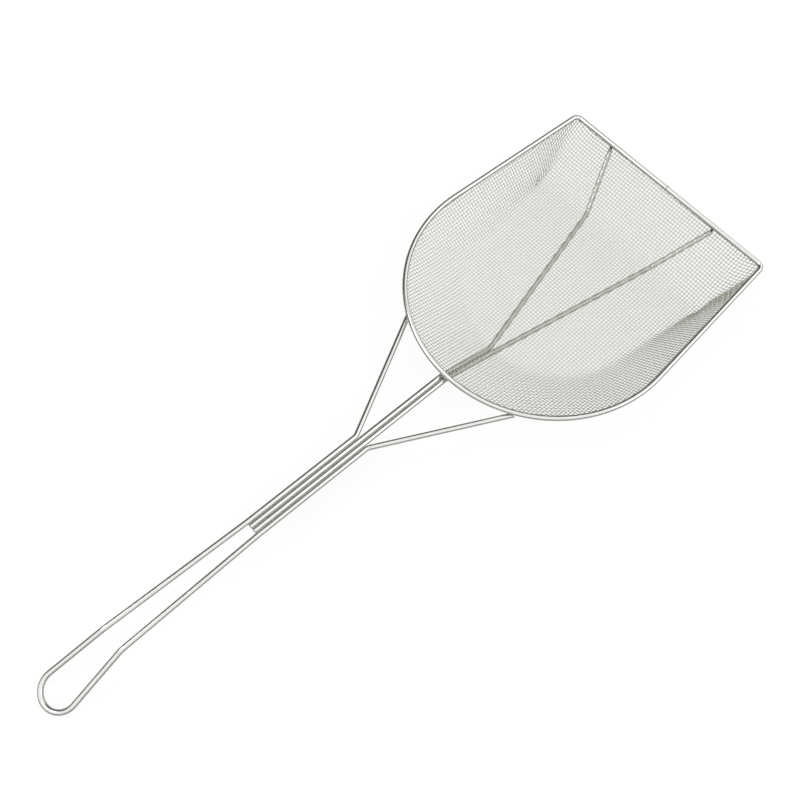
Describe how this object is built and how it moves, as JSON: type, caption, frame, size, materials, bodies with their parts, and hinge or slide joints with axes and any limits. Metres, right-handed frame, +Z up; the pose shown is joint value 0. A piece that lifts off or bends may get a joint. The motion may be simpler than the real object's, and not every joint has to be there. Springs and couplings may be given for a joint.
{
  "type": "long-handled wire scoop skimmer",
  "caption": "Shallow scoop of square wire cloth on a heavy wire rim, with braced wire handle and hanging loop, for lifting fried food out of oil or sifting crumbs.",
  "frame": {"origin": "middle of the bounding box, on the table that the part lies on", "axes": "+X from the hanging loop towards the straight front edge, +Y to the left of someone holding the handle, +Z up off the table"},
  "size_m": [0.7256, 0.2672, 0.0644],
  "materials": {
    "polished_wire": "bright plated steel wire, polished, with faint drawing lines",
    "wire_cloth": "plain square weave of bright plated steel wire",
    "weld_metal": "small plated welds, slightly dull"
  },
  "bodies": {
    "root": {"rim_wire": "polished_wire", "rim_butt_weld": "weld_metal", "left_outer_wire": "polished_wire", "right_outer_wire": "polished_wire", "hanging_loop": "polished_wire", "left_support_wire": "polished_wire", "right_support_wire": "polished_wire", "basket_cloth": "wire_cloth", "brace_welds": "weld_metal", "rear_rim_welds": "weld_metal", "front_rim_welds": "weld_metal", "handle_welds": "weld_metal", "spot_welds": "weld_metal"}
  },
  "joints": []
}
